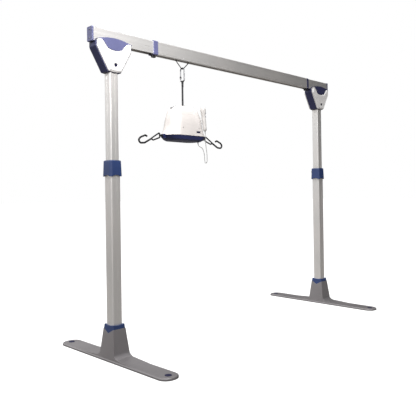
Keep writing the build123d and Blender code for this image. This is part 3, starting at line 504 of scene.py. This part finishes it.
def board(name):
    """Circuit board: green mask with paler tracks and solder specks."""
    f = Finish(name, Coat_Weight=0.3)
    tracks = f.range(f.cells(260.0), 0.20, 0.26)
    tone = f.mix(tracks, (0.02, 0.16, 0.06, 1), (0.01, 0.09, 0.035, 1))
    solder = f.range(f.cells(420.0), 0.16, 0.10)
    tone = f.mix(solder, tone, (0.6, 0.6, 0.58, 1))
    return f.finish(tone, f.range(solder, 0.0, 1.0, 0.45, 0.3), f.bump(tracks, 0.4, 5e-5))


NAVY = (0.019, 0.039, 0.124)
VIOLET = (0.088, 0.092, 0.190)
ALUMINIUM = (0.760, 0.745, 0.730)

finishes = {
    "foot_grey": cast("foot_grey", (0.225, 0.212, 0.218), 0.38, Metallic=0.35),
    "collar_navy": moulded("collar_navy", NAVY, 0.36, dust_and_shade_amount=0.15),
    "accent_blue": moulded("accent_blue", VIOLET, 0.40),
    "plug_dark": moulded("plug_dark", (0.010, 0.010, 0.040), 0.62, Specular_IOR_Level=0.25),
    "dome_white": moulded("dome_white", (0.57, 0.535, 0.515), 0.46, depth=2.5e-5, dust_and_shade_amount=0.12),
    "cover_white": moulded("cover_white", (0.74, 0.725, 0.720), 0.46, depth=2.5e-5, dust_and_shade_amount=0.12),
    "core_navy": moulded("core_navy", (0.024, 0.026, 0.082), 0.50, 520.0, 3.5e-4, dust_and_shade_amount=0.2),
    "steel": plated("steel", (0.17, 0.17, 0.175), 0.36),
    "black_steel": coated_rod("black_steel", (0.006, 0.006, 0.007), (0.20, 0.20, 0.20, 1), 0.50),
    "rubber": rubbery("rubber", (0.028, 0.028, 0.028)),
    "webbing": webbing("webbing", (0.014, 0.014, 0.016)),
    "hull_navy": moulded("hull_navy", (0.015, 0.020, 0.075), 0.46, depth=3e-5, Specular_IOR_Level=0.35),
    "black_plastic": moulded("black_plastic", (0.014, 0.014, 0.015), 0.48, 700.0, 1.2e-4),
    "handset_grey": moulded("handset_grey", (0.46, 0.44, 0.425), 0.42),
    "cord_grey": rubbery("cord_grey", (0.32, 0.32, 0.315), 0.50),
    "control_grey": moulded("control_grey", (0.21, 0.21, 0.215), 0.45, 700.0, 1.2e-4),
    "motor_steel": plated("motor_steel", (0.20, 0.20, 0.21), 0.42),
    "brass": plated("brass", (0.62, 0.44, 0.17), 0.30),
    "board_green": board("board_green"),
}
rail_finish = extruded("aluminium_rail", ALUMINIUM, 0)
post_finish = extruded("aluminium_post", ALUMINIUM, 2, 0.38)


def dress(obj, material):
    """One material over the whole object."""
    obj.data.materials.clear()
    obj.data.materials.append(material)


def dress_as(obj, slot):
    dress(obj, finishes[slot])


for name, obj in nodes.items():
    slot = LIFT_SLOTS[name]
    if slot == "aluminium":
        material = post_finish if "tube" in name else rail_finish
    else:
        material = finishes[slot]
    for place in obj.material_slots:
        place.material = material

dress_as(cord, "cord_grey")
for relief in reliefs:
    dress_as(relief, "cord_grey")


# ---- Lifting strap -------------------------------------------------------------------------
TAPE_HALF_WIDTH = 0.0098
TAPE_THICK = 0.0020
# Distance of the tape's two plies from the middle plane where they are sewn together.
PLY_OFFSET = 0.0011
RING_BAR = Vector((TROLLEY_X, 0, 1.9965))
RING_BAR_RADIUS = 0.0045
SEAM_TOP = 1.972
SEAM_LOW = 1.950
# Shares of the half width and half thickness round the tape, with thicker selvedges.
TAPE_SECTION = (
    (-1, -0.55), (-0.94, -1), (-0.5, -0.86), (0, -0.84), (0.5, -0.86), (0.94, -1), (1, -0.55),
    (1, 0.55), (0.94, 1), (0.5, 0.86), (0, 0.84), (-0.5, 0.86), (-0.94, 1), (-1, 0.55),
)


def make_strap():
    """Webbing sewn into an eye round the carabiner's lower bar."""
    low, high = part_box("lifting_strap")
    eye = RING_BAR_RADIUS + TAPE_THICK / 2 + 0.0001
    path = []
    for k in range(15):
        path.append(Vector((TROLLEY_X + PLY_OFFSET, 0, SEAM_LOW + (SEAM_TOP - SEAM_LOW) * k / 14)))
    for k in range(25):
        angle = math.radians(-62 + 304 * k / 24)
        path.append(RING_BAR + Vector((math.cos(angle) * eye, 0, math.sin(angle) * eye)))
    for k in range(60):
        share = k / 59
        path.append(Vector((TROLLEY_X - PLY_OFFSET, 0, SEAM_TOP + (low.z - SEAM_TOP) * share)))
    rings = []
    for i, point in enumerate(path):
        before, after = path[max(0, i - 1)], path[min(len(path) - 1, i + 1)]
        tangent = (after - before).normalized()
        out = Vector((tangent.z, 0, -tangent.x))
        ring = []
        for u, v in TAPE_SECTION:
            ring.append(point + Vector((0, 1, 0)) * u * TAPE_HALF_WIDTH + out * v * TAPE_THICK / 2)
        rings.append(ring)
    strap = mesh_object("strap_webbing", *sweep_rings(rings))
    dress_as(strap, "webbing")
    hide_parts("lifting_strap")
    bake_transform(strap)


make_strap()


# ---- Small parts ---------------------------------------------------------------------------
PAD_GAP = 0.0003
# Distance along the screw's axis and radius, as shares of the head's radius.
SCREW_PROFILE = (
    (0.0, 0.98), (0.25, 1.0), (0.50, 0.86), (0.60, 0.62), (0.60, 0.46), (0.22, 0.44), (0.20, 0.10),
)
# Height above the floor and radius of a rubber pad.
PAD_PROFILE = ((PAD_GAP, 0.0135), (0.0012, 0.0160), (0.0050, 0.0160), (0.0066, 0.0150))
CAP_SCREW_RADIUS = 0.0042
DOME_SCREW_RADIUS = 0.0036
ARROW_SIZE = 0.0045
STITCH_ROWS = (1.9535, 1.9585, 1.9635, 1.9685)
STITCH_PITCH = 0.0034
SEAL_HALF = 0.0362
SEAL_CORNER = 0.011
SEAL_RADIUS = 0.0013
DOME_SCREW_HEIGHT = 1.612
DOME_SCREW_BEARING = math.radians(48)


def piece(obj, body, slot, sharp=32):
    smooth_by_angle(obj, sharp)
    dress_as(obj, slot)
    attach(obj, body)


def screw(name, place, axis, radius, body):
    """Pan-head screw with a socket, standing on a surface."""
    profile = [(along * radius, across * radius) for along, across in SCREW_PROFILE]
    piece(lathe(name, place, axis, profile, 18), body, "motor_steel")


def rounded_outline(half_x, half_y, corner, steps=10):
    """Points and outward directions round a rounded rectangle in plan."""
    outline = []
    for k, (sx, sy) in enumerate(((1, 1), (-1, 1), (-1, -1), (1, -1))):
        for i in range(steps + 1):
            angle = math.radians(90 * k + 90 * i / steps)
            out = Vector((math.cos(angle), math.sin(angle), 0))
            bend = Vector((sx * (half_x - corner), sy * (half_y - corner), 0))
            outline.append((bend + out * corner, out))
    return outline


def bead(name, centre, outline, radius, body, slot):
    """Soft sealing bead laid along a closed outline."""
    rings = []
    for point, out in outline:
        ring = []
        for k in range(8):
            angle = math.tau * k / 8
            ring.append(Vector(centre) + point + out * math.cos(angle) * radius
                        + Vector((0, 0, 1)) * math.sin(angle) * radius)
        rings.append(ring)
    piece(mesh_object(name, *sweep_rings(rings, closed=True)), body, slot, 60)


def make_stand_details(side):
    """Rubber pads under the foot and a wiper seal on the mid collar."""
    low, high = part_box(side + "_foot")
    middle = (low + high) / 2
    for k, y in enumerate((low.y + 0.085, low.y + 0.300, high.y - 0.300, high.y - 0.085)):
        pad = lathe(f"{side}_foot_pad_{k}", (middle.x, y, 0), (0, 0, 1), PAD_PROFILE)
        piece(pad, side + "_stand", "rubber")
    low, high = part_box(side + "_mid_collar")
    centre = ((low.x + high.x) / 2, 0, high.z + 0.0004)
    outline = rounded_outline(SEAL_HALF, SEAL_HALF, SEAL_CORNER)
    bead(side + "_wiper_seal", centre, outline, SEAL_RADIUS, side + "_stand", "rubber")


def make_head_details(side, sign):
    """Two screws in the rail's end cap."""
    low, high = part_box(side + "_end_cap")
    x = high.x if sign > 0 else low.x
    for k, z in enumerate((low.z + 0.022, high.z - 0.022)):
        spot = (x - sign * PAD_GAP, 0, z)
        screw(f"{side}_cap_screw_{k}", spot, (sign, 0, 0), CAP_SCREW_RADIUS, side + "_upper")


def make_unit_details():
    """Screws round the dome's skirt, each set down on the dome's own surface."""
    cover = nodes["unit_cover"]
    low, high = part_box("unit_cover")
    centre = (low + high) / 2
    for k, (sx, sy) in enumerate(((1, 1), (-1, 1), (-1, -1), (1, -1))):
        across, deep = math.cos(DOME_SCREW_BEARING), math.sin(DOME_SCREW_BEARING)
        out = Vector((sx * across, sy * deep, 0.12)).normalized()
        hit, spot, normal, _ = cover.ray_cast(*toward(cover, centre, out, DOME_SCREW_HEIGHT))
        if hit:
            spot = cover.matrix_world @ spot
            normal = (cover.matrix_world.to_3x3() @ normal).normalized()
            screw(f"dome_screw_{k}", spot - normal * 0.0006, normal, DOME_SCREW_RADIUS, "lift_unit")


def toward(obj, centre, out, height):
    """Ray in an object's own space, from outside it towards its middle at a height."""
    start = Vector((centre.x, centre.y, height)) + out * 0.5
    inverse = obj.matrix_world.inverted()
    return inverse @ start, (inverse.to_3x3() @ -out).normalized()


def make_button_arrows():
    """Raised arrowhead on each handset button."""
    for name, height, reach, sign in (("up", 0.048, 0.0205, 1), ("down", 0.016, 0.0175, -1)):
        base = HANDSET_MIDDLE + HANDSET_UP * height + HANDSET_FACE * (reach - 0.0002)
        rings = []
        for lift, grow in ((0.0, 1.0), (0.0004, 1.0), (0.0007, 0.8)):
            ring = []
            for k in range(3):
                angle = math.radians(90 + 120 * k)
                across, along = math.cos(angle) * ARROW_SIZE, math.sin(angle) * ARROW_SIZE * sign
                spread = (HANDSET_SIDE * across + HANDSET_UP * along) * grow
                ring.append(base + HANDSET_FACE * lift + spread)
            rings.append(ring)
        piece(mesh_object(name + "_arrow", *sweep_rings(rings)), name + "_button", "plug_dark")


def make_stitches():
    """Rows of thread where the strap is sewn to itself below its eye."""
    for row, z in enumerate(STITCH_ROWS):
        for face in (-1, 1):
            for k in range(5):
                y = STITCH_PITCH * (k - 2)
                spot = Vector((TROLLEY_X + face * 0.00222, y, z))
                path = [
                    spot + Vector((-face * 0.00045, -0.0013, 0)),
                    spot + Vector((0, -0.0009, 0)),
                    spot + Vector((0, 0.0009, 0)),
                    spot + Vector((-face * 0.00045, 0.0013, 0)),
                ]
                thread = tube(f"stitch_{row}_{face}_{k}", path, (0.00025, 0.0003, 0.0003, 0.00025), 6)
                piece(thread, "carabiner", "webbing", 60)


for side, sign in (("left", -1), ("right", 1)):
    make_stand_details(side)
    make_head_details(side, sign)
make_unit_details()
make_button_arrows()
make_stitches()


# ---- Floor, light and sky --------------------------------------------------------------
WHITE = (1.0, 1.0, 1.0, 1.0)
# Ramps of the sky's strength over a direction: axis, where it starts and ends, strength at each.
SKY_RAMPS = (
    (0, 0.42, 0.84, 0.76, 0.0),
    (0, -0.60, 0.50, 1.85, 0.62),
    (2, 0.01, 0.36, 0.28, 1.20),
)


def seen_or_felt(tree, seen, felt):
    """Shader that shows one thing to the eye and gives the object another light."""
    path = tree.nodes.new("ShaderNodeLightPath")
    mix = tree.nodes.new("ShaderNodeMixShader")
    tree.links.new(path.outputs["Is Camera Ray"], mix.inputs[0])
    tree.links.new(felt, mix.inputs[1])
    tree.links.new(seen, mix.inputs[2])
    return mix.outputs[0]


def make_floor():
    """Pale paper floor, near white to the eye, that throws little light back up."""
    corners = [(-60, -60, 0), (60, -60, 0), (60, 60, 0), (-60, 60, 0)]
    floor = mesh_object("floor", corners, [(0, 1, 2, 3)], False)
    floor.location.z = -0.0005
    material = bpy.data.materials.new("floor_paper")
    material.use_nodes = True
    tree = material.node_tree
    seen = tree.nodes["Principled BSDF"]
    seen.inputs["Base Color"].default_value = (0.40, 0.40, 0.40, 1)
    seen.inputs["Roughness"].default_value = 1.0
    seen.inputs["Specular IOR Level"].default_value = 0.0
    seen.inputs["Emission Color"].default_value = WHITE
    seen.inputs["Emission Strength"].default_value = 0.80
    felt = tree.nodes.new("ShaderNodeBsdfDiffuse")
    felt.inputs["Color"].default_value = (0.22, 0.21, 0.20, 1)
    output = tree.nodes["Material Output"]
    tree.links.new(seen_or_felt(tree, seen.outputs[0], felt.outputs[0]), output.inputs[0])
    dress(floor, material)


def make_light(name, place, target, size, power, spread=180):
    data = bpy.data.lights.new(name, "AREA")
    data.shape = "RECTANGLE"
    data.size, data.size_y = size
    data.energy = power
    data.spread = math.radians(spread)
    lamp = new_object(name, data)
    aim = (Vector(target) - Vector(place)).to_track_quat("-Z", "Y")
    lamp.visible_camera = False
    lamp.matrix_world = Matrix.Translation(place) @ aim.to_matrix().to_4x4()


def make_sky():
    """White backdrop; the light it gives fades towards the far end of the rail."""
    world = bpy.data.worlds.new("studio")
    scene.world = world
    world.use_nodes = True
    tree = world.node_tree
    felt = tree.nodes["Background"]
    place = tree.nodes.new("ShaderNodeTexCoord").outputs["Generated"]
    split = tree.nodes.new("ShaderNodeSeparateXYZ")
    tree.links.new(place, split.inputs[0])
    strength = None
    for axis, *span in SKY_RAMPS:
        ramp = tree.nodes.new("ShaderNodeMapRange")
        ramp.interpolation_type = "SMOOTHSTEP"
        for socket, value in zip(ramp.inputs[1:5], span):
            socket.default_value = value
        tree.links.new(split.outputs[axis], ramp.inputs[0])
        if strength is None:
            strength = ramp.outputs[0]
            continue
        both = tree.nodes.new("ShaderNodeMath")
        both.operation = "MULTIPLY"
        tree.links.new(strength, both.inputs[0])
        tree.links.new(ramp.outputs[0], both.inputs[1])
        strength = both.outputs[0]
    tree.links.new(strength, felt.inputs["Strength"])
    felt.inputs["Color"].default_value = WHITE
    seen = tree.nodes.new("ShaderNodeBackground")
    seen.inputs["Color"].default_value = WHITE
    output = tree.nodes["World Output"]
    tree.links.new(seen_or_felt(tree, seen.outputs[0], felt.outputs[0]), output.inputs[0])


make_floor()
make_sky()
make_light("key", (-1.8, -1.7, 2.9), (-1.0, 0, 2.2), (0.9, 0.9), 18, 80)
make_light("top", (-0.5, 0.3, 5.2), (0, 0, 0), (3.0, 3.0), 180)
scene.view_settings.view_transform = "Standard"

bpy.context.view_layer.update()
